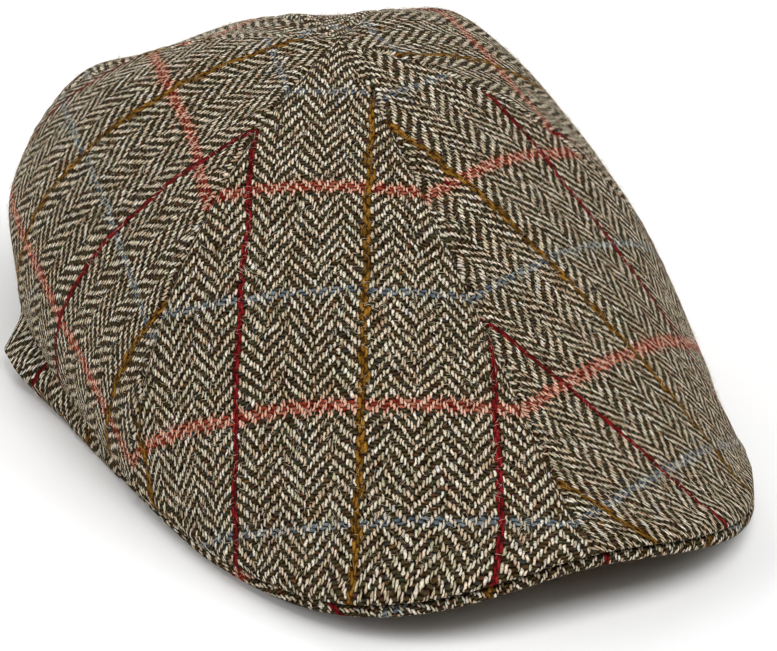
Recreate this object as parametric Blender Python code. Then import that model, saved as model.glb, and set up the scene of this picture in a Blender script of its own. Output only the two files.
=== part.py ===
"""Six-panel duckbill flat cap in tweed, as it rests on a table.

Metres, +Z up. The peak faces -Y and the wearer's right is -X. The origin is on the table, under
the middle of the cap.

The crown is one surface of revolution gone out of round: a curve runs from the point on top to the
lower edge, and it changes as it turns about that point. Six panels share that surface. Along the
front the crown's lower edge is the edge of the peak; from the temples backward a band hangs from it.
"""
import bpy
import numpy as np

# Driving sizes.
CROWN_HEIGHT = 0.1125    # from the table to the point where the six seams meet
HALF_WIDTH = 0.0905      # half the width of the crown's lower edge
FRONT_REACH = 0.173      # from the point forward to the middle of the peak's edge, in plan
BACK_REACH = 0.105       # from the point back to the crown's lower edge, in plan
FRONT_SQUARENESS = 3.0  # 2 would be an ellipse: the peak has broad round corners
BACK_SQUARENESS = 2.9
TEMPLE_SEAM = 60.0       # angles of the seams, from straight ahead; two more lie at 0 and 180
BACK_SEAM = 138.0
PANEL_FLATNESS = 0.0008  # how far a panel's middle lies inside the round of its two seams
CLOTH = 0.0018           # tweed and its lining, sewn as one wall
SEAM_GAP = 0.0003        # clearance between neighbouring pieces
TIP_SHARE = 0.005        # where the panels end, as a share of the curve from the point down
UPRIGHT_SHARE = 0.2      # from here up to the point the wall turns to being measured straight down
EDGE_INSET = 0.0003      # the edges of the peak and band lie this far inside the crown's edge

PEAK_THICKNESS = 0.0041  # board with tweed over and under it
PEAK_MIDDLE_DEPTH = 0.078  # from its edge back to the forehead, in plan
PEAK_SIDE_DEPTH = 0.0065  # how far it reaches in beside the temples
HEAD_SQUARENESS = 2.2    # of the opening for the head, which is rounder than the crown's edge
BROW_HEIGHT = 0.029      # top of the peak at the middle of the forehead
BROW_FALL = 0.023        # how much lower it is beside the temples
JOIN_ANGLE = 68.0        # where the peak ends and the band starts, from straight ahead

BAND_THICKNESS = 0.0022
BAND_FLARE = 0.008       # how far the band's fold beside the ear rolls out past the crown's edge

# One row for every 30 degrees from straight ahead (0) round either side to straight behind (180).
# rim: height of the crown's lower edge, as a share of CROWN_HEIGHT.
# top_out, low_out: where the curve's two pull points lie, as shares of the distance in plan from
#   the point to the lower edge. Over 1 makes the crown belly out past its edge.
# top_drop: how far the upper pull point lies under the point, as a share of CROWN_HEIGHT.
# low_rise: height of the lower pull point over the rim, as a share of what is above the rim.
SECTION_STEP = 30.0
SECTIONS = {
    #            0     30    60    90    120   150   180
    "rim":      (0.23, 0.08, 0.04, 0.09, 0.15, 0.20, 0.20),
    "top_out":  (0.30, 0.45, 0.75, 0.60, 0.60, 0.50, 0.60),
    "top_drop": (0.08, 0.10, 0.12, 0.05, 0.00, 0.05, 0.05),
    "low_out":  (0.70, 0.95, 1.10, 1.20, 1.15, 1.15, 1.10),
    "low_rise": (0.25, 0.20, 0.30, 0.50, 0.60, 0.55, 0.50),
}

# The panels, by the angles of their two seams. Angles grow toward the wearer's right.
PANELS = {
    "panel_front_right": (0, TEMPLE_SEAM),
    "panel_side_right": (TEMPLE_SEAM, BACK_SEAM),
    "panel_back_right": (BACK_SEAM, 180),
    "panel_back_left": (180, 360 - BACK_SEAM),
    "panel_side_left": (360 - BACK_SEAM, 360 - TEMPLE_SEAM),
    "panel_front_left": (360 - TEMPLE_SEAM, 360),
}
PANEL_COLUMNS, PANEL_ROWS = 15, 21

# Across the peak from its edge to the forehead. First its rounded nose: how far in, and how much
# of the half thickness is there, both as shares of half the thickness. Then shares of its depth.
PEAK_NOSE = ((0.0, 0.35), (0.22, 0.78), (0.75, 1.0))
PEAK_DEPTH = ((0.3, 1.0), (0.5, 1.0), (0.75, 1.0), (0.97, 1.0), (1.0, 0.6))
PEAK_SECTIONS = 45

# Round the band from a temple (0) to straight behind (1): share of BAND_FLARE. Its loose cloth
# makes one fold beside each ear and is drawn in behind it.
BAND_ROLL = ((0.0, 0.0), (0.2, 0.3), (0.4, 1.0), (0.5, -0.3), (0.7, -0.2), (1.0, -0.1))
# Down the band: share of its height from the crown to the table, and share of the roll there.
BAND_HEIGHTS = ((0.0, 0.0), (0.3, 0.6), (0.6, 1.0), (0.8, 0.8), (1.0, 0.5))
BAND_SECTIONS = 91

TWEED = (0.235, 0.205, 0.165, 1.0)


def folded(angle):
    """Degrees from straight ahead, 0 to 180, the same on both sides."""
    return np.abs((np.asarray(angle, float) + 180.0) % 360.0 - 180.0)


def section(column, angle):
    """A table column at these angles: a smooth curve through its rows, the same on both sides."""
    rows = np.array(SECTIONS[column])
    rows = np.concatenate([rows[1:2], rows, rows[-2:-1]])
    turned = folded(angle) / SECTION_STEP
    first = np.clip(turned.astype(int), 0, len(rows) - 4)
    f = turned - first
    a, b, c, d = rows[first], rows[first + 1], rows[first + 2], rows[first + 3]
    return b + 0.5 * f * (c - a + f * (2 * a - 5 * b + 4 * c - d + f * (3 * (b - c) + d - a)))


def reach(angle, half_width, front, back, front_squareness, back_squareness):
    """Distance in plan from the point to an outline that is rounder or squarer than an ellipse."""
    turn = np.radians(angle)
    ahead = np.cos(turn) > 0
    length = np.where(ahead, front, back)
    power = np.where(ahead, front_squareness, back_squareness)
    across = np.abs(np.sin(turn)) / half_width
    along = np.abs(np.cos(turn)) / length
    return (across**power + along**power) ** (-1 / power)


def edge_reach(angle):
    return reach(angle, HALF_WIDTH, FRONT_REACH, BACK_REACH, FRONT_SQUARENESS, BACK_SQUARENESS)


def crown_curve(angle, share):
    """How far out and how high the crown's outside is, from the point (share 0) to the edge (1).

    In the upright plane at an angle it is a cubic Bezier curve. The panel's middle is then moved
    in by PANEL_FLATNESS, so that the seams stand as soft ridges.
    """
    t = np.asarray(share, float)
    edge = edge_reach(angle)
    rim = section("rim", angle) * CROWN_HEIGHT
    out1 = section("top_out", angle) * edge
    out2 = section("low_out", angle) * edge
    up1 = CROWN_HEIGHT * (1 - section("top_drop", angle))
    up2 = rim + section("low_rise", angle) * (CROWN_HEIGHT - rim)
    s = 1 - t
    out = 3 * t * s**2 * out1 + 3 * t**2 * s * out2 + t**3 * edge
    up = s**3 * CROWN_HEIGHT + 3 * t * s**2 * up1 + 3 * t**2 * s * up2 + t**3 * rim
    d_out = s**2 * out1 + 2 * t * s * (out2 - out1) + t**2 * (edge - out2)
    d_up = s**2 * (up1 - CROWN_HEIGHT) + 2 * t * s * (up2 - up1) + t**2 * (rim - up2)
    length = np.hypot(d_out, d_up)
    across = np.interp(folded(angle), (0.0, TEMPLE_SEAM, BACK_SEAM, 180.0), (0.0, 1.0, 2.0, 3.0))
    flat = PANEL_FLATNESS * np.sin(np.pi * across) ** 2 * np.sin(np.pi * t)
    return out + flat * d_up / length, up - flat * d_out / length


def point_behind_origin():
    """How far the crown's point lies behind the origin, which is midway between front and back."""
    angle = np.linspace(90.0, 180.0, 91)[:, None]
    out, _ = crown_curve(angle, np.linspace(0.0, 1.0, 101))
    return 0.5 * (FRONT_REACH - np.max(-out * np.cos(np.radians(angle))))


POINT_Y = point_behind_origin()


def placed(angle, out, height):
    """The point this far out from the crown's point in plan, at this height."""
    turn = np.radians(angle)
    return np.stack([-out * np.sin(turn), POINT_Y - out * np.cos(turn), height + 0 * out], axis=-1)


def crown(angle, share):
    """The point on the crown's outside at this angle and share."""
    return placed(angle, *crown_curve(angle, share))


def crown_normal(angle, share):
    """The outward direction of the crown, from two short steps along it.

    It turns to straight up at the point, so that walls measured along it don't cross there.
    """
    step_angle, step_share = 0.2, 0.002
    along = crown(angle, share + step_share) - crown(angle, share - step_share)
    round_it = crown(angle + step_angle, share) - crown(angle - step_angle, share)
    normal = np.cross(round_it, along)
    normal /= np.linalg.norm(normal, axis=-1, keepdims=True)
    normal *= np.clip(share / UPRIGHT_SHARE, 0.0, 1.0)[..., None]
    normal[..., 2] += 1 - np.clip(share / UPRIGHT_SHARE, 0.0, 1.0)
    return normal / np.linalg.norm(normal, axis=-1, keepdims=True)


def mesh(name, upper, under, colour):
    """A closed body between two sheets of points in rows and columns.

    The sheets face away from each other, and strips join them along all four sides.
    """
    columns, rows = upper.shape[:2]
    points = np.concatenate([upper.reshape(-1, 3), under.reshape(-1, 3)])
    top = np.arange(columns * rows).reshape(columns, rows)
    low = top + columns * rows

    def sheet(grid):
        corners = [grid[:-1, :-1], grid[1:, :-1], grid[1:, 1:], grid[:-1, 1:]]
        return np.stack([corner.ravel() for corner in corners], axis=1)

    def strip(first, second):
        return np.stack([first[:-1], second[:-1], second[1:], first[1:]], axis=1)

    faces = np.concatenate([
        sheet(top),
        sheet(low)[:, ::-1],
        strip(top[0], low[0])[:, ::-1],
        strip(top[-1], low[-1]),
        strip(top[:, 0], low[:, 0]),
        strip(top[:, -1], low[:, -1])[:, ::-1],
    ])
    data = bpy.data.meshes.new(name)
    data.from_pydata(points.tolist(), [], faces.tolist())
    data.validate()
    material = bpy.data.materials.new(name)
    material.use_nodes = True
    shader = material.node_tree.nodes["Principled BSDF"]
    shader.inputs["Base Color"].default_value = colour
    shader.inputs["Roughness"].default_value = 0.95
    data.materials.append(material)
    body = bpy.data.objects.new(name, data)
    cap.objects.link(body)
    return body


def panel(name, seams):
    """One crown panel: it runs from seam to seam, less half the gap on each side."""
    share = np.linspace(TIP_SHARE, 1.0, PANEL_ROWS)
    limits = []
    for seam, side in zip(seams, (1, -1)):
        line = crown(np.full(PANEL_ROWS, float(seam)), share)
        out = np.hypot(line[:, 0], line[:, 1] - POINT_Y)
        limits.append(seam + side * np.degrees(0.5 * SEAM_GAP / out))
    across = np.linspace(0.0, 1.0, PANEL_COLUMNS)[:, None]
    angle = limits[0] + across * (limits[1] - limits[0])
    share = np.broadcast_to(share, angle.shape)
    outside = crown(angle, share)
    inside = outside - CLOTH * crown_normal(angle, share)
    return mesh(name, outside, inside, TWEED)


def peak():
    """The peak: a board that is arched from side to side, deep in front and narrow at the temples."""
    edge_angle = np.linspace(-JOIN_ANGLE, JOIN_ANGLE, PEAK_SECTIONS)
    edge_angle[[0, -1]] += np.degrees(0.5 * SEAM_GAP / edge_reach(JOIN_ANGLE)) * np.array([1, -1])
    at_edge = np.ones(PEAK_SECTIONS)
    edge = crown(edge_angle, at_edge)
    tilt = crown_normal(edge_angle, at_edge)[:, 2]
    nose = edge_reach(edge_angle) - EDGE_INSET
    half = 0.5 * PEAK_THICKNESS
    brow_half_width = HALF_WIDTH - PEAK_SIDE_DEPTH
    brow_reach = FRONT_REACH - PEAK_MIDDLE_DEPTH
    head = reach(edge_angle, brow_half_width, brow_reach, brow_reach, HEAD_SQUARENESS, HEAD_SQUARENESS)
    depth = nose - head
    head_x = head * np.sin(np.radians(edge_angle))
    edge_top = edge[:, 2] - CLOTH * np.maximum(tilt, 0.0) - SEAM_GAP
    brow_top = BROW_HEIGHT - BROW_FALL * (head_x / brow_half_width) ** 2
    stations = [(inward * half / depth, full) for inward, full in PEAK_NOSE]
    stations += [(share + 0 * depth, full) for share, full in PEAK_DEPTH]
    above, below = [], []
    for share, full in stations:
        rise = share * share * (3 - 2 * share)
        middle = edge_top + rise * (brow_top - edge_top) - half
        out = nose - share * depth
        above.append(placed(edge_angle, out, middle + half * full))
        below.append(placed(edge_angle, out, np.maximum(middle - half * full, 0.0)))
    return mesh("peak", np.stack(above, axis=1)[:, ::-1], np.stack(below, axis=1)[:, ::-1], TWEED)


def band_roll(angle):
    """BAND_ROLL at these angles. Between two of its rows it eases from one share to the next."""
    places, shares = np.array(BAND_ROLL).T
    at = np.clip((folded(angle) - JOIN_ANGLE) / (180.0 - JOIN_ANGLE), 0.0, 1.0)
    first = np.clip(np.searchsorted(places, at, side="right") - 1, 0, len(places) - 2)
    f = (at - places[first]) / (places[first + 1] - places[first])
    f = f * f * (3 - 2 * f)
    return shares[first] * (1 - f) + shares[first + 1] * f


def back_band():
    """The band from temple to temple round the back. It rolls out and stands flat on the table."""
    angle = np.linspace(JOIN_ANGLE, 360.0 - JOIN_ANGLE, BAND_SECTIONS)
    angle[[0, -1]] += np.degrees(0.5 * SEAM_GAP / edge_reach(JOIN_ANGLE)) * np.array([1, -1])
    top = crown(angle, 1.0)[:, 2] - SEAM_GAP
    outer = edge_reach(angle) - EDGE_INSET
    roll = band_roll(angle) * BAND_FLARE
    outside, inside = [], []
    for down, rolled in BAND_HEIGHTS:
        out = outer + roll * rolled
        outside.append(placed(angle, out, top * (1 - down)))
        inside.append(placed(angle, out - BAND_THICKNESS, top * (1 - down)))
    return mesh("back_band", np.stack(outside, axis=1), np.stack(inside, axis=1), TWEED)


for old in list(bpy.data.objects):
    bpy.data.objects.remove(old)

cap = bpy.data.collections.new("flat_cap")
bpy.context.scene.collection.children.link(cap)

for panel_name, panel_seams in PANELS.items():
    panel(panel_name, panel_seams)
peak()
back_band()
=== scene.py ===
# %% [markdown]
# # A tweed duckbill cap
#
# A flat cap of this kind is sewn from six panels of herringbone tweed that meet in a point on top.
# The two front panels run down over a stiff peak and are sewn to its edge, and a narrow band hangs
# from the other four. The cloth is most of what the eye sees, so most of this lesson is about cloth:
# first the surfaces, then the place of each point in the flat cloth, then the weave.

# %% Load the frame
import math
import bpy
import numpy as np
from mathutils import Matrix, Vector


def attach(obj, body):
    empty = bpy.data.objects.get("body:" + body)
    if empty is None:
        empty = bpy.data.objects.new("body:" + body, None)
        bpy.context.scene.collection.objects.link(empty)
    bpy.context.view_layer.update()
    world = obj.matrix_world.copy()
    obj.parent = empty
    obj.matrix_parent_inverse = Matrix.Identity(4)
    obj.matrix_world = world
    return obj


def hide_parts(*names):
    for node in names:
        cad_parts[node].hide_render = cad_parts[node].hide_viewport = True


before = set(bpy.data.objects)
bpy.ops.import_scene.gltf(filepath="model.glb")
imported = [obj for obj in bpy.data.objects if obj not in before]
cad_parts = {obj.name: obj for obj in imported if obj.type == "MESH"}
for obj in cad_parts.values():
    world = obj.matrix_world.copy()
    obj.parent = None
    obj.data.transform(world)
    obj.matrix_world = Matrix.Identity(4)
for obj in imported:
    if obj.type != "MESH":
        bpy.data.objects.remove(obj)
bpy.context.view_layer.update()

# %% [markdown]
# ## Camera
#
# The photograph looks at the cap from its front right and a little above, through a long lens, so
# that lines stay almost parallel. The lens is given by its focal length in pixels of the picture.

# %% Camera
PICTURE = (777, 651)
TURN, RISE = math.radians(24.97), math.radians(27.54)
DISTANCE = 1.62
FOCAL_PIXELS = 5343.0
TARGET = Vector((0.0, 0.0, 0.05))
TARGET_PIXEL = (384.4, 269.3)

toward_camera = Vector((-math.sin(TURN) * math.cos(RISE), -math.cos(TURN) * math.cos(RISE), math.sin(RISE)))
picture_right = Vector((math.cos(TURN), -math.sin(TURN), 0.0))
picture_up = toward_camera.cross(picture_right)
off_right = (PICTURE[0] / 2 - TARGET_PIXEL[0]) * DISTANCE / FOCAL_PIXELS
off_up = (TARGET_PIXEL[1] - PICTURE[1] / 2) * DISTANCE / FOCAL_PIXELS
aim = TARGET + off_right * picture_right + off_up * picture_up

camera_data = bpy.data.cameras.new("camera")
camera_data.lens = FOCAL_PIXELS / PICTURE[0] * camera_data.sensor_width
camera = bpy.data.objects.new("camera", camera_data)
camera.location = TARGET + DISTANCE * toward_camera
camera.rotation_euler = (camera.location - aim).to_track_quat("Z", "Y").to_euler()
bpy.context.scene.collection.objects.link(camera)
bpy.context.scene.camera = camera
print("lens %.0f mm" % camera_data.lens)

# %% [markdown]
# ## The crown as one surface
#
# The CAD model describes the crown by a curve in the upright plane at each angle round the point
# on top. The same sizes and the same table give the fine surface here, so the dressed cap follows
# the CAD model's shape. POINT_Y is typed here, 0.07 mm from what the CAD model works out. Lengths
# are in metres.

# %% Sizes of the crown
CROWN_HEIGHT = 0.1125
HALF_WIDTH = 0.0905
FRONT_REACH, BACK_REACH = 0.173, 0.105
FRONT_SQUARENESS, BACK_SQUARENESS = 3.0, 2.9
TEMPLE_SEAM, BACK_SEAM = 60.0, 138.0
PANEL_FLATNESS = 0.0008
POINT_Y = 0.0334
CLOTH = 0.0018
UPRIGHT_SHARE = 0.2

SECTION_STEP = 30.0
SECTIONS = {
    #            0     30    60    90    120   150   180
    "rim":      (0.23, 0.08, 0.04, 0.09, 0.15, 0.20, 0.20),
    "top_out":  (0.30, 0.45, 0.75, 0.60, 0.60, 0.50, 0.60),
    "top_drop": (0.08, 0.10, 0.12, 0.05, 0.00, 0.05, 0.05),
    "low_out":  (0.70, 0.95, 1.10, 1.20, 1.15, 1.15, 1.10),
    "low_rise": (0.25, 0.20, 0.30, 0.50, 0.60, 0.55, 0.50),
}


# %% Functions of the crown
def folded(angle):
    """Degrees from straight ahead, 0 to 180, the same on both sides."""
    return np.abs((np.asarray(angle, float) + 180.0) % 360.0 - 180.0)


def section(column, angle):
    """A table column at these angles: Catmull-Rom's curve through its rows, which are 30 degrees apart."""
    rows = np.array(SECTIONS[column])
    rows = np.concatenate([rows[1:2], rows, rows[-2:-1]])
    turned = folded(angle) / SECTION_STEP
    first = np.clip(turned.astype(int), 0, len(rows) - 4)
    f = turned - first
    a, b, c, d = rows[first], rows[first + 1], rows[first + 2], rows[first + 3]
    return b + 0.5 * f * (c - a + f * (2 * a - 5 * b + 4 * c - d + f * (3 * (b - c) + d - a)))


def reach(angle, half_width, front, back, front_squareness, back_squareness):
    """Distance in plan to a superellipse: (|x| / a) to the power n + (|y| / b) to the power n = 1."""
    turn = np.radians(angle)
    ahead = np.cos(turn) > 0
    power = np.where(ahead, front_squareness, back_squareness)
    across = np.abs(np.sin(turn)) / half_width
    along = np.abs(np.cos(turn)) / np.where(ahead, front, back)
    return (across**power + along**power) ** (-1 / power)


def edge_reach(angle):
    """Distance in plan from the point on top to the crown's lower edge."""
    return reach(angle, HALF_WIDTH, FRONT_REACH, BACK_REACH, FRONT_SQUARENESS, BACK_SQUARENESS)


def placed(angle, out, height):
    """The point this far out from the crown's point in plan, at this height."""
    turn = np.radians(angle)
    return np.stack([-out * np.sin(turn), POINT_Y - out * np.cos(turn), height + 0 * out], axis=-1)


def crown(angle, share):
    """The crown's outside. Share 0 is the point on top, 1 the lower edge, along a cubic Bezier curve.

    A panel's middle is moved in by PANEL_FLATNESS times a squared sine across it and a sine down it.
    """
    t = np.asarray(share, float)
    s = 1 - t
    edge = edge_reach(angle)
    rim = section("rim", angle) * CROWN_HEIGHT
    out1, out2 = section("top_out", angle) * edge, section("low_out", angle) * edge
    up1 = CROWN_HEIGHT * (1 - section("top_drop", angle))
    up2 = rim + section("low_rise", angle) * (CROWN_HEIGHT - rim)
    out = 3 * t * s**2 * out1 + 3 * t**2 * s * out2 + t**3 * edge
    up = s**3 * CROWN_HEIGHT + 3 * t * s**2 * up1 + 3 * t**2 * s * up2 + t**3 * rim
    d_out = s**2 * out1 + 2 * t * s * (out2 - out1) + t**2 * (edge - out2)
    d_up = s**2 * (up1 - CROWN_HEIGHT) + 2 * t * s * (up2 - up1) + t**2 * (rim - up2)
    length = np.hypot(d_out, d_up)
    across = np.interp(folded(angle), (0.0, TEMPLE_SEAM, BACK_SEAM, 180.0), (0.0, 1.0, 2.0, 3.0))
    flat = PANEL_FLATNESS * np.sin(np.pi * across) ** 2 * np.sin(np.pi * t)
    return placed(angle, out + flat * d_up / length, up - flat * d_out / length)


def crown_normal(angle, share):
    """Outward direction from two short steps on the crown, turned to straight up close to the point."""
    along = crown(angle, share + 0.002) - crown(angle, share - 0.002)
    round_it = crown(angle + 0.2, share) - crown(angle - 0.2, share)
    normal = np.cross(round_it, along)
    normal /= np.linalg.norm(normal, axis=-1, keepdims=True)
    lean = np.clip(share / UPRIGHT_SHARE, 0.0, 1.0)[..., None]
    normal = normal * lean + np.array([0.0, 0.0, 1.0]) * (1 - lean)
    return normal / np.linalg.norm(normal, axis=-1, keepdims=True)


# %% [markdown]
# ## One closed piece from a looped sheet
#
# Each piece of a cap is a thick sheet with a rounded lower edge. One grid describes all of it: its
# rows run down the outside, round the edge and back up the inside. Joining the last row to the first
# and bridging each side column to itself closes the piece. The grid also carries the place of each
# point in the flat cloth, which becomes a UV map, in millimetres of cloth.

# %% Mesh helper
def piece(name, loop, cloth, stands_for, material):
    """A closed body from a grid of points, columns by rows, whose rows make a loop with even count."""
    columns, rows = loop.shape[:2]
    number = np.arange(columns * rows).reshape(columns, rows)
    after = np.roll(number, -1, axis=1)
    around = np.stack([number[:-1], number[1:], after[1:], after[:-1]], axis=-1).reshape(-1, 4)
    half = rows // 2
    low, high = np.arange(half - 1), np.arange(rows - 1, half, -1)
    sides = []
    for column, flip in ((0, 1), (columns - 1, -1)):
        line = number[column]
        sides.append(np.stack([line[low], line[low + 1], line[high - 1], line[high]], axis=1)[:, ::flip])
    faces = np.concatenate([around, *sides])
    mesh = bpy.data.meshes.new(name)
    mesh.from_pydata(loop.reshape(-1, 3).tolist(), [], faces.tolist())
    mesh.polygons.foreach_set("use_smooth", np.ones(len(faces), bool))
    layer = mesh.uv_layers.new(name="cloth")
    layer.data.foreach_set("uv", cloth.reshape(-1, 2)[faces.ravel()].ravel().astype(np.float32))
    mesh.materials.append(material)
    body = bpy.data.objects.new(name, mesh)
    bpy.context.scene.collection.objects.link(body)
    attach(body, "root")
    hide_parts(*stands_for)
    print(name, len(faces) * 2, "triangles")
    return body


def around_edge(outer, inner, cloth_outer, steps=8):
    """Outside rows, half a circle round the lower edge, and inside rows, with their cloth places.

    The half circle has the wall's end as its diameter and bulges the way the outside was going.
    """
    end_out, end_in = outer[:, -1], inner[:, -1]
    middle, arm = 0.5 * (end_out + end_in), 0.5 * (end_out - end_in)
    ahead = outer[:, -1] - outer[:, -3]
    ahead -= arm * (np.sum(ahead * arm, axis=1) / np.sum(arm * arm, axis=1))[:, None]
    ahead *= (np.linalg.norm(arm, axis=1) / np.linalg.norm(ahead, axis=1))[:, None]
    turn = np.linspace(0.0, np.pi, steps + 2)[1:-1]
    nose = middle[:, None] + arm[:, None] * np.cos(turn)[:, None] + ahead[:, None] * np.sin(turn)[:, None]
    last = cloth_outer[:, -1:]
    onward = last - cloth_outer[:, -3:-2]
    onward *= 1000 * (np.linalg.norm(arm, axis=1) / np.linalg.norm(onward[:, 0], axis=1))[:, None, None]
    cloth_nose = last + onward * turn[:, None]
    cloth_inner = 2 * last + np.pi * onward - cloth_outer[:, ::-1]
    loop = np.concatenate([outer, nose, inner[:, ::-1]], axis=1)
    return loop, np.concatenate([cloth_outer, cloth_nose, cloth_inner], axis=1)


# %% [markdown]
# ## The flat cloth
#
# A weave has to follow the cloth, and each panel was cut flat. To find where a point of the dome lay
# in the flat panel, planes are stood square to the panel's middle line. How far along that line a
# point's plane stands is its first coordinate, and the length of the curve that the plane cuts, from
# the middle line to the point, is its second. That is how a sewn gore is drafted, run backwards.
# The cutter lays panels at a small turn and the iron stretches them, so each panel then gets a few
# numbers of its own, which lay the coloured lines over the cap roughly as on the real one.

# %% Unroll a panel
def unroll(angle, share):
    """Across and along, in millimetres, for a grid of columns (angles) and rows (shares)."""
    columns, rows = angle.shape
    middle = angle[columns // 2, 0]
    line = crown(np.full(500, middle), np.linspace(0.0, 1.0, 500))
    ahead = np.gradient(line, axis=0)
    ahead /= np.linalg.norm(ahead, axis=1, keepdims=True)
    run = np.concatenate([[0.0], np.cumsum(np.linalg.norm(np.diff(line, axis=0), axis=1))])
    points = crown(angle, share).reshape(-1, 3)
    gap = points @ ahead.T - np.sum(line * ahead, axis=1)
    nearest = np.abs(gap).argmin(axis=1)
    along = (run[nearest] + gap[np.arange(len(points)), nearest]).reshape(columns, rows)
    levels = np.linspace(along.min(), along.max(), 300)
    rising = np.maximum.accumulate(along, axis=1)
    cut_share = np.array([np.interp(levels, rising[c], share[c]) for c in range(columns)])
    cut = crown(np.broadcast_to(angle[:, :1], cut_share.shape), cut_share)
    steps = np.linalg.norm(np.diff(cut, axis=0), axis=2)
    length = np.concatenate([np.zeros((1, len(levels))), np.cumsum(steps, axis=0)])
    length -= length[columns // 2]
    across = np.array([np.interp(along[c], levels, length[c]) for c in range(columns)])
    left = np.array([np.interp(along[c], levels, length[0]) for c in range(columns)])
    right = np.array([np.interp(along[c], levels, length[-1]) for c in range(columns)])
    return 1000 * across, 1000 * along, 1000 * np.minimum(across - left, right - across)


# %% How each panel was cut
# side: which way "across" counts, so that left and right panels mirror each other.
# x0, y0: cloth millimetres at the point on top; a mustard line lies at x = 0, a coral one at y = 0.
# Then how much x and y change for each millimetre across (a) and along (l), and for each
# thousand square millimetres, because a panel is eased and stretched as it is sewn.
CUTS = {
    # panel: (angles), side, (x0, a, l, aa, al, ll), (y0, a, l, aa, al, ll)
    "panel_front_right": ((0.0, TEMPLE_SEAM), -1,
                          (-13, 1.1, -0.03, 0, -1.3, 0), (-60, 0.05, 1.0, 0, 0, 0)),
    "panel_front_left": ((360 - TEMPLE_SEAM, 360.0), 1,
                         (-15, 0.8, -0.05, 0, 3, 0), (-65, 0.2, 1.0, -1, 0, 0)),
    "panel_side_right": ((TEMPLE_SEAM, BACK_SEAM), 1,
                         (-5, 1.2, 0.0, 0, -2, -1), (-60, 0.0, 1.2, -2, 2, -1)),
    "panel_side_left": ((360 - BACK_SEAM, 360 - TEMPLE_SEAM), -1,
                        (15, 1.2, -0.1, 0, -2, 0), (-50, 0.1, 0.9, 0, 0, 0)),
    "panel_back_right": ((BACK_SEAM, 180.0), 1,
                         (20, 1.0, 0.0, 0, 0, 0), (-50, 0.0, 1.0, 0, 0, 0)),
    "panel_back_left": ((180.0, 360 - BACK_SEAM), -1,
                        (20, 1.0, 0.0, 0, 0, 0), (-50, 0.0, 1.0, 0, 0, 0)),
}

# %% [markdown]
# ## Panels
#
# Where two panels meet, both turn in and disappear into the seam, and beside it the cloth stands a
# little proud, pulled into small puckers by the stitches. Close to a seam the columns are packed
# tightly, because all of that happens within three millimetres. The front panels are also turned
# under where they meet the peak, which leaves a soft roll along their lower edge. A worn cap is
# never quite even, so a short table of wide, low bumps and hollows roughly follows its outline.

# %% Panels
SEAM_DEPTH, SEAM_WIDTH = 0.0011, 1.3
PUFF, PUFF_WIDTH = 0.00035, 4.0
ROLL, ROLL_PUCKER = 0.0010, 0.3
ROLL_PLACE, ROLL_WIDTH = 2.0, 2.2
PANEL_COLUMNS, PANEL_ROWS = 97, 151
COLUMN_PACKING, ROW_PACKING, TIP_SHARE = 0.88, 1.1, 0.0012
# Where handling has pushed the cloth out or in: metres, the place's angle and share, and its radius.
LUMPS = (
    (-0.003, 125.0, 0.95, 0.012), (-0.001, 135.0, 0.75, 0.01), (0.003, 145.0, 0.55, 0.012),
    (-0.002, 155.0, 0.4, 0.012), (-0.003, 190.0, 0.35, 0.012), (-0.003, 215.0, 0.35, 0.018),
    (0.0015, 235.0, 0.4, 0.012), (-0.001, 320.0, 0.9, 0.012),
)


def ripple(x, y):
    """Small unevenness of pressed cloth: four sines of different size and direction, in metres."""
    return 0.00012 * (
        np.sin(0.11 * x + 0.05 * y + 1.0) + np.sin(0.07 * x - 0.09 * y + 2.2)
        + 0.7 * np.sin(0.19 * y + 0.08 * x + 4.0) + 0.6 * np.sin(0.23 * x - 0.04 * y + 0.4)
    )


def pushed(surface):
    """How far these points of the crown are pushed out: the sum of height * exp(-(distance / radius) squared)."""
    push = np.zeros(surface.shape[:-1])
    for height, at, far, radius in LUMPS:
        middle = crown(np.array(at), np.array(far))
        push += height * np.exp(-np.sum(((surface - middle) / radius) ** 2, axis=-1))
    return push


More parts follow.
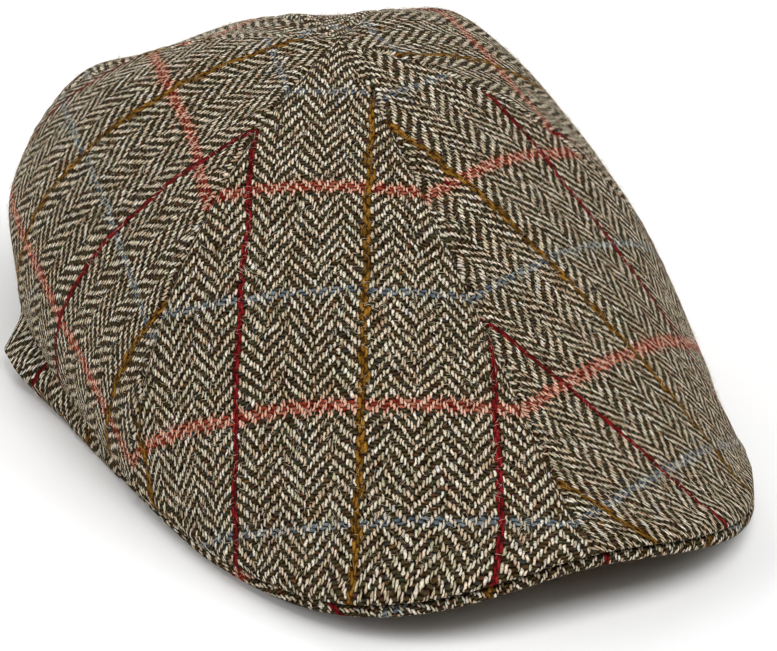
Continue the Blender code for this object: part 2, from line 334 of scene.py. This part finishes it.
def panel(name, material):
    """A crown panel: the crown's surface between two seams, sunk at the seams, with the cloth's wall."""
    (first, last), side, to_x, to_y = CUTS[name]
    even = np.linspace(0.0, 1.0, PANEL_COLUMNS)
    packed = even - COLUMN_PACKING * np.sin(2 * np.pi * even) / (2 * np.pi)
    share = np.linspace(0.0, 1.0, PANEL_ROWS) ** ROW_PACKING * (1 - TIP_SHARE) + TIP_SHARE
    angle = np.broadcast_to((first + packed * (last - first))[:, None], (PANEL_COLUMNS, PANEL_ROWS))
    share = np.broadcast_to(share, angle.shape)
    across, along, from_seam = unroll(angle, share)
    across = side * across
    thousand = 0.001 * np.stack([across * across, across * along, along * along])
    terms = np.concatenate([np.stack([np.ones_like(across), across, along]), thousand])
    x, y = (np.tensordot(np.array(shares), terms, axes=1) for shares in (to_x, to_y))
    near = np.exp(-(from_seam / SEAM_WIDTH) ** 2)
    proud = (from_seam / PUFF_WIDTH) ** 2 * np.exp(1 - (from_seam / PUFF_WIDTH) ** 2)
    pucker = 0.75 + 0.35 * np.sin(1.05 * along + 1.5 * np.sin(0.31 * along))
    fade = np.clip(along / 12.0, 0.15, 1.0)
    lift = fade * (PUFF * proud * pucker - SEAM_DEPTH * near) + ripple(x, y) * np.clip(from_seam / 6.0, 0, 1)
    surface, normal = crown(angle, share), crown_normal(angle, share)
    to_edge = along[:, -1:] - along
    roll = ROLL * np.exp(-(((to_edge - ROLL_PLACE) / ROLL_WIDTH) ** 2)) * (folded(angle) < TEMPLE_SEAM)
    lift = lift + roll * (1 + ROLL_PUCKER * np.sin(1.6 * x + 2 * np.sin(0.23 * x)))
    push = pushed(surface)
    outer = surface + (lift + push)[..., None] * normal
    inner = surface + (push - CLOTH - 0.4 * SEAM_DEPTH * near)[..., None] * normal
    loop, cloth = around_edge(outer, inner, np.stack([x, y], axis=-1))
    return piece(name + "_tweed", loop, cloth, [name], material)


# %% [markdown]
# ## Peak and band
#
# The peak is a board wrapped in the same tweed. Only its thick rounded edge shows under the front
# panels, and its hollow underside in a view from below. The band is a strip whose coloured lines
# stand upright. It hangs loose, so beside each ear it folds outward before it reaches the table.

# %% Peak
EDGE_INSET, SEAM_GAP = 0.0003, 0.0003
PEAK_THICKNESS, PEAK_MIDDLE_DEPTH, PEAK_SIDE_DEPTH = 0.0041, 0.078, 0.0065
HEAD_SQUARENESS = 2.2
BROW_HEIGHT, BROW_FALL = 0.029, 0.023
JOIN_ANGLE = 68.0
LIP, LIP_WIDTH = 0.0011, 0.007
CORNER_LIP, CORNER_ANGLE, CORNER_SPREAD = 0.0014, 36.0, 15.0
GROOVE, GROOVE_WIDTH = 0.0011, 0.005
TABLE_GAP = 0.0003
# Where the peak's cloth was cut, in millimetres: its mustard line, its shrink and its coral line.
PEAK_CLOTH_X, PEAK_CLOTH_STRETCH, PEAK_CLOTH_Y = 31.0, -740, -57.0


def peak(material):
    """Columns run along the edge from temple to temple, rows from the brow out to the edge.

    The upper side rises from the edge to the brow as 3 s squared - 2 s cubed.
    """
    angle = np.linspace(-JOIN_ANGLE, JOIN_ANGLE, 221)
    at_edge = np.ones_like(angle)
    tilt = crown_normal(angle, at_edge)[:, 2]
    half = 0.5 * PEAK_THICKNESS
    nose = edge_reach(angle) - EDGE_INSET
    brow_width, brow_reach = HALF_WIDTH - PEAK_SIDE_DEPTH, FRONT_REACH - PEAK_MIDDLE_DEPTH
    head = reach(angle, brow_width, brow_reach, brow_reach, HEAD_SQUARENESS, HEAD_SQUARENESS)
    edge_top = crown(angle, at_edge)[:, 2] - CLOTH * np.maximum(tilt, 0.0) - SEAM_GAP
    brow_top = BROW_HEIGHT - BROW_FALL * (head * np.sin(np.radians(angle)) / brow_width) ** 2
    share = np.linspace(1.0, 0.0, 31)[None, :] ** 1.3
    start = nose[:, None] - half
    out = start - share * (start - head[:, None])
    inward = (nose[:, None] - out) / (nose - head)[:, None]
    rise = inward**2 * (3 - 2 * inward)
    middle = edge_top[:, None] + rise * (brow_top - edge_top)[:, None] - half
    from_edge = nose[:, None] - out
    groove = GROOVE * np.exp(-((from_edge / GROOVE_WIDTH) ** 2))
    corner = np.exp(-(((angle[:, None] + CORNER_ANGLE) / CORNER_SPREAD) ** 2))
    lip = (LIP + CORNER_LIP * corner) * np.exp(-((from_edge / LIP_WIDTH) ** 2))
    out = out + 0.7 * CORNER_LIP * corner * (1 - inward)
    turned = np.broadcast_to(angle[:, None], out.shape)
    upper = placed(turned, out, middle + half - groove)
    under = placed(turned, out, np.maximum(middle - half - lip, TABLE_GAP))
    cloth_x = 1000 * upper[..., 0] + PEAK_CLOTH_X
    cloth_y = PEAK_CLOTH_STRETCH * upper[..., 1] + PEAK_CLOTH_Y
    cloth = np.stack([cloth_x, cloth_y], axis=-1)
    loop, cloth = around_edge(upper, under, cloth)
    return piece("peak_tweed_cover", loop, cloth, ["peak"], material)


# %% Band
BAND_THICKNESS, BAND_FLARE = 0.0022, 0.008
BAND_WAVE, BAND_WAVE_RATE = 0.0004, 0.55
BAND_CLOTH_X, BAND_CLOTH_Y = -36.5, 14.0
BAND_ROLL = ((0.0, 0.0), (0.2, 0.3), (0.4, 1.0), (0.5, -0.3), (0.7, -0.2), (1.0, -0.1))
BAND_HEIGHTS = ((0.0, 0.0), (0.3, 0.6), (0.6, 1.0), (0.8, 0.8), (1.0, 0.5))


def eased(table, at):
    """Between two rows of a table of places and values, the value goes as 3 f squared - 2 f cubed."""
    places, values = np.array(table).T
    first = np.clip(np.searchsorted(places, at, side="right") - 1, 0, len(places) - 2)
    f = (at - places[first]) / (places[first + 1] - places[first])
    f = f * f * (3 - 2 * f)
    return values[first] * (1 - f) + values[first + 1] * f


def back_band(material):
    """Columns run from temple to temple round the back, rows from the crown's edge to the table."""
    angle = np.linspace(JOIN_ANGLE, 360.0 - JOIN_ANGLE, 401)
    down = np.linspace(0.0, 1.0, 31)[None, :]
    roll = eased(BAND_ROLL, np.clip((folded(angle) - JOIN_ANGLE) / (180.0 - JOIN_ANGLE), 0.0, 1.0))
    rolled = np.interp(down, *np.array(BAND_HEIGHTS).T)
    top = crown(angle, np.ones_like(angle))[:, 2:3] - SEAM_GAP
    half = 0.5 * BAND_THICKNESS
    out = edge_reach(angle)[:, None] - EDGE_INSET + roll[:, None] * BAND_FLARE * rolled
    out = out + BAND_WAVE * np.sin(BAND_WAVE_RATE * angle)[:, None] * np.sin(np.pi * down)
    height = half + (top - half) * (1 - down)
    turned = np.broadcast_to(angle[:, None], out.shape)
    outer = placed(turned, out, height)
    inner = placed(turned, out - BAND_THICKNESS, height)
    step = np.linalg.norm(np.diff(outer[:, 15, :2], axis=0), axis=1)
    run = np.concatenate([[0.0], np.cumsum(step)])
    run -= run[-1] / 2
    cloth_x = 1000 * run[:, None] + BAND_CLOTH_X + 0 * down
    cloth = np.stack([cloth_x, 1000 * (top - height) + BAND_CLOTH_Y], axis=-1)
    loop, cloth = around_edge(outer, inner, cloth)
    return piece("band_tweed_cover", loop, cloth, ["back_band"], material)


# %% [markdown]
# ## Herringbone tweed
#
# Tweed is a wool cloth in a 2/2 twill: each lengthwise end passes over two crosswise picks and under
# two, and its neighbour does the same one pick later. That makes a slanting line. In a herringbone
# the slant turns back after every eight ends, and two picks are skipped at the turn. That break is
# why the bones of the cloth end in small steps and not in points. The ends are pale and the picks
# dark brown, and both are spun from wool of many colours, so no two floats are quite alike.
# Coloured ends and picks cross the cloth as a windowpane check.
#
# The shader works in counts of threads. The whole part of x names an end, and a triangle wave of it
# says how far its floats are shifted. A short oval inside each float gives the round yarn its height.

# %% Colour and node helpers
def linear(hex_colour):
    """An sRGB colour such as "cfc3ae" as linear red, green, blue and alpha."""
    parts = [int(hex_colour[i:i + 2], 16) / 255 for i in (0, 2, 4)]
    return tuple(c / 12.92 if c <= 0.04045 else ((c + 0.055) / 1.055) ** 2.4 for c in parts) + (1.0,)


def add(tree, kind, *inputs, stops=(), **settings):
    """Adds a node. Inputs go by order, or in a dict by name or number: numbers, colours, nodes or sockets.

    stops are a colour ramp's (place, sRGB hex) pairs.
    """
    node = tree.nodes.new("ShaderNode" + kind)
    for key, value in settings.items():
        setattr(node, key, value)
    pairs = inputs[0].items() if inputs and isinstance(inputs[0], dict) else enumerate(inputs)
    for key, value in pairs:
        if isinstance(value, bpy.types.Node):
            value = value.outputs[0]
        if isinstance(value, bpy.types.NodeSocket):
            tree.links.new(value, node.inputs[key])
        else:
            node.inputs[key].default_value = value
    for place, colour in stops:
        stop = node.color_ramp.elements.new(place)
        stop.color = linear(colour)
    if stops:
        node.color_ramp.elements.remove(node.color_ramp.elements[0])
        node.color_ramp.elements.remove(node.color_ramp.elements[-1])
    return node


# %% Tweed
CHECK = 36.5  # millimetres from one coloured line to the next
END, PICK = CHECK / 40, CHECK / 34
CREAM = ((0.01, "947e60"), (0.25, "bda986"), (0.45, "dccbac"), (0.62, "ecdfc4"), (0.8, "f8f0dd"), (0.99, "fffaf0"))
HEATHER = ((0.01, "9cab8c"), (0.25, "c6c6a8"), (0.42, "e6dcc4"), (0.55, "e8d6b8"), (0.66, "e2b290"),
           (0.78, "dfc8b8"), (0.9, "b8c0c4"), (0.99, "95a8b6"))
DARK = ((0.01, "2c2010"), (0.25, "564226"), (0.4, "6e5836"), (0.5, "465238"), (0.6, "6c5032"),
        (0.7, "425250"), (0.8, "643c30"), (0.99, "8c6436"))
CORAL = ((0.3, "862018"), (0.5, "c4503a"), (0.7, "ec9a7c"))
BLUE = ((0.3, "59646e"), (0.5, "80909c"), (0.7, "a8b4ba"))
RED, MUSTARD, BLUSH, MIST = "7c191d", "865e20", "f0a88e", "aebcc6"
# The painted shade between the yarns darkens towards the first of these two colours; the second tints the sheen.
HOLLOW_SHADE, SHEEN = "3c2c18", "d9cfbd"
WOOL = ((0.3, "9a7c5c"), (0.42, "dccbb0"), (0.52, "f4ead4"), (0.62, "c2c4ac"), (0.7, "b8a08c"))


def tweed(name):
    """Herringbone tweed. Rough and hairy, with a soft sheen where it turns away from the eye."""
    material = bpy.data.materials.new(name)
    material.use_nodes = True
    tree = material.node_tree
    shader = tree.nodes["Principled BSDF"]

    # Threads wander: cloth is never ruled. Places are then counted in ends and picks.
    place = add(tree, "UVMap", uv_map="cloth")
    moved = place
    for scale, amount in ((0.06, 2.4), (0.25, 0.8), (0.8, 0.8)):
        drifting = add(tree, "TexNoise", {"Vector": place, "Scale": scale, "Detail": 1.0}, noise_dimensions="2D")
        centred = add(tree, "VectorMath", drifting.outputs["Color"], (0.5, 0.5, 0.5), operation="SUBTRACT")
        moved = add(tree, "VectorMath", centred, (amount, amount, 0.0), moved, operation="MULTIPLY_ADD")
    counted = add(tree, "VectorMath", moved, (END, PICK, 1.0), operation="DIVIDE")
    axes = add(tree, "SeparateXYZ", counted)
    x, y = axes.outputs[0], axes.outputs[1]

    # The twill climbs 8 ends and falls 8, and skips 2 picks where it turns: that break makes the
    # bones. Floats lean its way a little, so x is sheared within each float.
    wave = add(tree, "Math", add(tree, "Math", x, 8.0), 16.0, operation="FLOORED_MODULO")
    slant = add(tree, "Math", wave, 8.0, operation="SUBTRACT")
    way = add(tree, "Math", slant, operation="SIGN")
    smooth_zig = add(tree, "Math", add(tree, "Math", slant, operation="ABSOLUTE"), way, operation="SUBTRACT")
    rough_phase = add(tree, "Math", add(tree, "Math", y, smooth_zig), 0.25, 0.25, operation="MULTIPLY_ADD")
    rough_along = add(tree, "Math", add(tree, "Math", rough_phase, operation="FRACT"), 0.5, operation="SUBTRACT")
    shear = add(tree, "Math", rough_along, way, operation="MULTIPLY")
    x = add(tree, "Math", shear, 0.35, x, operation="MULTIPLY_ADD")

    # The end's number, the shift of its floats, and the place along a float from -2 to 2 picks.
    end = add(tree, "Math", x, operation="FLOOR")
    side = add(tree, "Math", add(tree, "Math", x, operation="FRACT"), 0.5, operation="SUBTRACT")
    wave = add(tree, "Math", add(tree, "Math", end, 8.5), 16.0, operation="FLOORED_MODULO")
    slant = add(tree, "Math", wave, 8.0, operation="SUBTRACT")
    zig = add(tree, "Math", add(tree, "Math", slant, operation="ABSOLUTE"),
              add(tree, "Math", slant, operation="SIGN"), operation="SUBTRACT")
    phase = add(tree, "Math", add(tree, "Math", y, zig), 0.25, 0.25, operation="MULTIPLY_ADD")
    bead = add(tree, "Math", phase, operation="FLOOR")
    along = add(tree, "Math", add(tree, "Math", phase, operation="FRACT"), 4.0, -2.0, operation="MULTIPLY_ADD")
    dice = add(tree, "TexWhiteNoise", add(tree, "CombineXYZ", end, bead), noise_dimensions="2D")
    throws = add(tree, "SeparateXYZ", dice.outputs["Color"])
    chance, second, third = dice.outputs["Value"], throws.outputs[1], throws.outputs[2]

    # Coloured ends lie every 40: mustard where the slants make a V, red where they make a roof.
    cycle = add(tree, "Math", add(tree, "Math", end, 20.5), 80.0, operation="FLOORED_MODULO")
    ragged = add(tree, "Math", second, 0.65, 0.95, operation="MULTIPLY_ADD")
    from_mustard = add(tree, "Math", cycle, 20.0, ragged, operation="COMPARE")
    from_red = add(tree, "Math", cycle, 60.0, 1.1, operation="COMPARE")
    coloured_end = add(tree, "Math", from_mustard, from_red, operation="MAXIMUM")

    # An oval is the float's outline. Coloured ends are thicker and longer.
    length = add(tree, "Math", second, 0.2, add(tree, "Math", coloured_end, 0.6, 1.05, operation="MULTIPLY_ADD"),
                 operation="MULTIPLY_ADD")
    shifted = add(tree, "Math", third, 0.7, add(tree, "Math", along, 0.35, operation="SUBTRACT"),
                  operation="MULTIPLY_ADD")
    far = add(tree, "Math", add(tree, "Math", shifted, operation="ABSOLUTE"), length, operation="DIVIDE")
    far = add(tree, "Math", far, 3.0, operation="POWER")
    width = add(tree, "Math", chance, 0.08, add(tree, "Math", coloured_end, 0.13, 0.43, operation="MULTIPLY_ADD"),
                operation="MULTIPLY_ADD")
    aside = add(tree, "Math", second, 0.2, add(tree, "Math", side, 0.1, operation="SUBTRACT"),
                operation="MULTIPLY_ADD")
    across = add(tree, "Math", aside, width, operation="DIVIDE")
    wide = add(tree, "Math", across, across, operation="MULTIPLY")
    inside = add(tree, "Math", 1.0, add(tree, "Math", far, wide), operation="SUBTRACT", use_clamp=True)
    height = add(tree, "Math", inside, operation="SQRT")
    shown = add(tree, "MapRange", {"Value": height, "From Min": 0.0, "From Max": 0.35})

    # Where ends dive, a pick floats over two of them: an oval that lies crosswise, and lower.
    pick = add(tree, "Math", y, operation="FLOOR")
    pick_side = add(tree, "Math", add(tree, "Math", y, operation="FRACT"), 2.0, -1.0, operation="MULTIPLY_ADD")
    pick_wide = add(tree, "Math", pick_side, pick_side, operation="MULTIPLY")
    over = add(tree, "Math", add(tree, "Math", pick, smooth_zig), 0.25, 0.875, operation="MULTIPLY_ADD")
    pick_along = add(tree, "Math", add(tree, "Math", over, operation="FRACT"), 4.0, -2.0, operation="MULTIPLY_ADD")
    pick_far = add(tree, "Math", add(tree, "Math", pick_along, operation="ABSOLUTE"), 1.35, operation="DIVIDE")
    pick_far = add(tree, "Math", pick_far, 2.6, operation="POWER")
    low = add(tree, "Math", 1.0, add(tree, "Math", pick_far, pick_wide), operation="SUBTRACT", use_clamp=True)
    low = add(tree, "Math", low, operation="SQRT")
    relief = add(tree, "Math", height, add(tree, "Math", low, 0.65, operation="MULTIPLY"), operation="MAXIMUM")

    # Heather: chance by float, and a slow drift of shade and of colour along the yarn.
    along_yarn = add(tree, "CombineXYZ", add(tree, "Math", end, 0.31, operation="MULTIPLY"),
                     add(tree, "Math", y, 0.09, operation="MULTIPLY"))
    drift = add(tree, "TexNoise", {"Vector": along_yarn, "Scale": 1.0, "Detail": 2.0}, noise_dimensions="2D")
    drifts = add(tree, "SeparateXYZ", drift.outputs["Color"])
    light = add(tree, "Math", chance, 0.85, add(tree, "Math", drifts.outputs[0], 0.7, -0.3, operation="MULTIPLY_ADD"),
                operation="MULTIPLY_ADD")
    cream = add(tree, "ValToRGB", light, stops=CREAM)
    mood = add(tree, "Math", drifts.outputs[1], 1.7, add(tree, "Math", third, 0.35, -0.52, operation="MULTIPLY_ADD"),
               operation="MULTIPLY_ADD")
    heather = add(tree, "ValToRGB", mood, stops=HEATHER)
    pale = add(tree, "Mix", {0: 0.4, 6: cream, 7: heather}, data_type="RGBA").outputs[2]
    across_yarn = add(tree, "CombineXYZ", add(tree, "Math", x, 0.35, operation="MULTIPLY"),
                      add(tree, "Math", pick, 1.3, operation="MULTIPLY"))
    pick_drift = add(tree, "TexNoise", {"Vector": across_yarn, "Scale": 1.0, "Detail": 2.0}, noise_dimensions="2D")
    dark = add(tree, "ValToRGB", add(tree, "Math", pick_drift, 1.9, -0.45, operation="MULTIPLY_ADD"), stops=DARK)

    # Coloured ends cover the picks between their floats almost wholly, in their own colour darkened as a painted
    # shade.
    dyed = add(tree, "Mix", {0: from_mustard, 6: linear(RED), 7: linear(MUSTARD)}, data_type="RGBA").outputs[2]
    dyed = add(tree, "VectorMath", dyed, add(tree, "MapRange", {"Value": chance, "To Min": 0.55, "To Max": 1.4}),
               operation="MULTIPLY")
    shade = add(tree, "VectorMath", dyed, (0.4, 0.3, 0.28), operation="MULTIPLY")
    covered = add(tree, "Math", coloured_end, 0.85, operation="MULTIPLY")

    # Coloured picks lie every 34: coral, then pale blue. The floats over coral take some of its colour.
    turn = add(tree, "Math", add(tree, "Math", pick, 17.5), 68.0, operation="FLOORED_MODULO")
    coral = add(tree, "Math", turn, 17.5, 1.1, operation="COMPARE")
    blue = add(tree, "Math", turn, 51.0, 1.1, operation="COMPARE")
    weft = add(tree, "Mix", {0: coral, 6: dark, 7: add(tree, "ValToRGB", pick_drift, stops=CORAL)},
               data_type="RGBA").outputs[2]
    weft = add(tree, "Mix", {0: blue, 6: weft, 7: add(tree, "ValToRGB", pick_drift, stops=BLUE)},
               data_type="RGBA").outputs[2]
    weft = add(tree, "Mix", {0: covered, 6: weft, 7: shade}, data_type="RGBA").outputs[2]
    blush = add(tree, "Math", add(tree, "Math", turn, 17.5, 2.1, operation="COMPARE"), 0.7, operation="MULTIPLY")
    pale = add(tree, "Mix", {0: blush, 6: pale, 7: linear(BLUSH)}, data_type="RGBA").outputs[2]
    mist = add(tree, "Math", add(tree, "Math", turn, 51.0, 2.1, operation="COMPARE"), 0.2, operation="MULTIPLY")
    pale = add(tree, "Mix", {0: mist, 6: pale, 7: linear(MIST)}, data_type="RGBA").outputs[2]
    warp = add(tree, "Mix", {0: coloured_end, 6: pale, 7: dyed}, data_type="RGBA").outputs[2]

    # Put together. A painted shade darkens the colour towards dark brown in the hollows between the yarns, and loose
    # fibres lie over both.
    cloth = add(tree, "Mix", {0: shown, 6: weft, 7: warp}, data_type="RGBA").outputs[2]
    grain = add(tree, "TexNoise", {"Vector": place, "Scale": 1.6, "Detail": 2.0, "Distortion": 1.0},
                noise_dimensions="2D")
    depth = add(tree, "Math", relief, 1.5, operation="POWER")
    hollow = add(tree, "Mix", {0: depth, 6: linear(HOLLOW_SHADE), 7: linear("ffffff")}, data_type="RGBA").outputs[2]
    fibres = add(tree, "MapRange", {"Value": grain, "From Min": 0.3, "From Max": 0.7, "To Min": 0.56, "To Max": 1.38})
    shade_and_grain = add(tree, "VectorMath", hollow, fibres, operation="MULTIPLY")
    cloth = add(tree, "VectorMath", cloth, shade_and_grain, operation="MULTIPLY")
    tree.links.new(cloth.outputs[0], shader.inputs["Base Color"])
    uneven = add(tree, "Math", grain, 0.4, relief, operation="MULTIPLY_ADD")
    bump = add(tree, "Bump", {"Strength": 0.9, "Distance": 0.0004, "Height": uneven})
    tree.links.new(bump.outputs[0], shader.inputs["Normal"])
    shader.inputs["Roughness"].default_value = 0.95
    shader.inputs["Specular IOR Level"].default_value = 0.03
    shader.inputs["Sheen Weight"].default_value = 0.02
    shader.inputs["Sheen Roughness"].default_value = 0.5
    shader.inputs["Sheen Tint"].default_value = linear(SHEEN)
    return material


# %% [markdown]
# ## Loose fibres
#
# Wool yarn is hairy. Short fibres stand off the cloth, cross the weave and soften the outline. Each
# one here is a thin bent needle with three sides, and together they are one piece.

# %% Loose fibres
FIBRES, SEED = 17000, 11
FIBRE_LENGTHS, FIBRE_RADII = (0.0014, 0.0036), (0.000030, 0.000060)  # metres
FIBRE_RISES, FIBRE_BENDS = (14.0, 42.0), (5.0, 45.0)  # degrees off the cloth, and of the bend
ROOT_DEPTH = 0.0002
DRAWS = 14 * FIBRES


def loose_fibres(material):
    """Needles spread evenly over the crown: base, base + l a / 2, then base + l (a + b) / 2.

    l is a fibre's length and a and b the directions of its two halves, which lie off the cloth by
    two different angles. Places are drawn evenly and kept in proportion to the crown's area there.
    """
    draw = np.random.default_rng(SEED)
    angle = draw.uniform(0.0, 360.0, DRAWS)
    share = draw.uniform(0.02, 0.97, DRAWS)
    round_it = crown(angle + 0.2, share) - crown(angle - 0.2, share)
    down = crown(angle, share + 0.002) - crown(angle, share - 0.002)
    area = np.linalg.norm(np.cross(round_it, down), axis=1)
    kept = np.flatnonzero(draw.uniform(0.0, area.max(), len(area)) < area)[:FIBRES]
    angle, share = angle[kept], share[kept]
    number = len(kept)
    surface, normal = crown(angle, share), crown_normal(angle, share)
    base = surface + (pushed(surface) - ROOT_DEPTH)[:, None] * normal
    one = down[kept] / np.linalg.norm(down[kept], axis=1, keepdims=True)
    two = np.cross(normal, one)
    heading = draw.uniform(0.0, 2 * np.pi, (number, 1))
    tangent = np.cos(heading) * one + np.sin(heading) * two
    rise = np.radians(draw.uniform(*FIBRE_RISES, (number, 1)))
    sink = rise - np.radians(draw.uniform(*FIBRE_BENDS, (number, 1)))
    length = draw.uniform(*FIBRE_LENGTHS, (number, 1))
    first = np.cos(rise) * tangent + np.sin(rise) * normal
    then = np.cos(sink) * tangent + np.sin(sink) * normal
    flank = np.cross(tangent, normal)
    flank /= np.linalg.norm(flank, axis=1, keepdims=True)
    other = np.cross(first, flank)
    radius = draw.uniform(*FIBRE_RADII, (number, 1))
    rings = []
    for centre, scale in ((base, 1.0), (base + 0.5 * length * first, 0.75)):
        for turn in (0.0, 2 * np.pi / 3, 4 * np.pi / 3):
            rings.append(centre + scale * radius * (np.cos(turn) * flank + np.sin(turn) * other))
    tip = base + 0.5 * length * (first + then)
    points = np.stack([*rings, tip], axis=1)
    shape = np.array([[0, 2, 1], [0, 1, 4], [0, 4, 3], [1, 2, 5], [1, 5, 4], [2, 0, 3], [2, 3, 5],
                      [3, 4, 6], [4, 5, 6], [5, 3, 6]])
    faces = (7 * np.arange(number)[:, None, None] + shape).reshape(-1, 3)
    mesh = bpy.data.meshes.new("loose_wool_fibres")
    mesh.from_pydata(points.reshape(-1, 3).tolist(), [], faces.tolist())
    mesh.materials.append(material)
    body = bpy.data.objects.new("loose_wool_fibres", mesh)
    bpy.context.scene.collection.objects.link(body)
    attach(body, "root")
    print(body.name, number, "fibres,", len(faces), "triangles")


def spun_wool(name):
    """Undyed and dyed wool fibres: matt, with a soft shine along their outline."""
    material = bpy.data.materials.new(name)
    material.use_nodes = True
    tree = material.node_tree
    shader = tree.nodes["Principled BSDF"]
    place = add(tree, "TexCoord").outputs["Object"]
    speckle = add(tree, "TexNoise", {"Vector": place, "Scale": 260.0, "Detail": 1.0})
    colour = add(tree, "ValToRGB", speckle, stops=WOOL)
    tree.links.new(colour.outputs[0], shader.inputs["Base Color"])
    shader.inputs["Roughness"].default_value = 0.8
    shader.inputs["Specular IOR Level"].default_value = 0.2
    shader.inputs["Sheen Weight"].default_value = 0.1
    return material


# %% Dress the cap
crown_tweed = tweed("herringbone_tweed_crown")
for panel_name in CUTS:
    panel(panel_name, crown_tweed)
peak(tweed("herringbone_tweed_peak"))
back_band(tweed("herringbone_tweed_band"))
loose_fibres(spun_wool("loose_wool"))

# %% [markdown]
# ## Studio
#
# White paper under five square soft lights. The one above the front and the one behind give most of
# the light, the one on the left opens up the side, and the two on the right keep the shadow soft.
# The room itself adds very little, or the shadow under the peak would fade.

# %% Floor and light
ROOM_GLOW, LIGHT_SIDE = 0.04, 1.0
FLOOR_HALF = 6.0
LIGHTS = (
    ("above_front", (0.0, -0.8, 1.5), 16.0), ("front_right", (0.9, -0.9, 1.2), 12.0),
    ("back", (0.0, 1.5, 0.8), 15.0), ("left", (-1.5, 0.0, 0.8), 12.0),
    ("back_right", (0.9, 0.9, 1.2), 4.0),
)

paper = bpy.data.materials.new("white_paper")
paper.use_nodes = True
paper.node_tree.nodes["Principled BSDF"].inputs["Base Color"].default_value = linear("fbfbfb")
paper.node_tree.nodes["Principled BSDF"].inputs["Roughness"].default_value = 0.9
sheet = bpy.data.meshes.new("floor")
corners = [(x * FLOOR_HALF, y * FLOOR_HALF, 0.0) for x, y in ((-1, -1), (1, -1), (1, 1), (-1, 1))]
sheet.from_pydata(corners, [], [(0, 1, 2, 3)])
sheet.materials.append(paper)
floor = bpy.data.objects.new("floor", sheet)
bpy.context.scene.collection.objects.link(floor)

world = bpy.data.worlds.new("white_room")
world.use_nodes = True
world.node_tree.nodes["Background"].inputs[0].default_value = (1.0, 1.0, 1.0, 1.0)
world.node_tree.nodes["Background"].inputs[1].default_value = ROOM_GLOW
bpy.context.scene.world = world


def soft_light(name, place, size, power):
    """A square area light at this place, turned to the cap."""
    data = bpy.data.lights.new(name, "AREA")
    data.size, data.energy = size, power
    light = bpy.data.objects.new(name, data)
    light.location = place
    light.rotation_euler = (Vector(place) - TARGET).to_track_quat("Z", "Y").to_euler()
    bpy.context.scene.collection.objects.link(light)


for light_name, light_place, watts in LIGHTS:
    soft_light(light_name, light_place, LIGHT_SIDE, watts)
bpy.context.scene.view_settings.view_transform = "Standard"
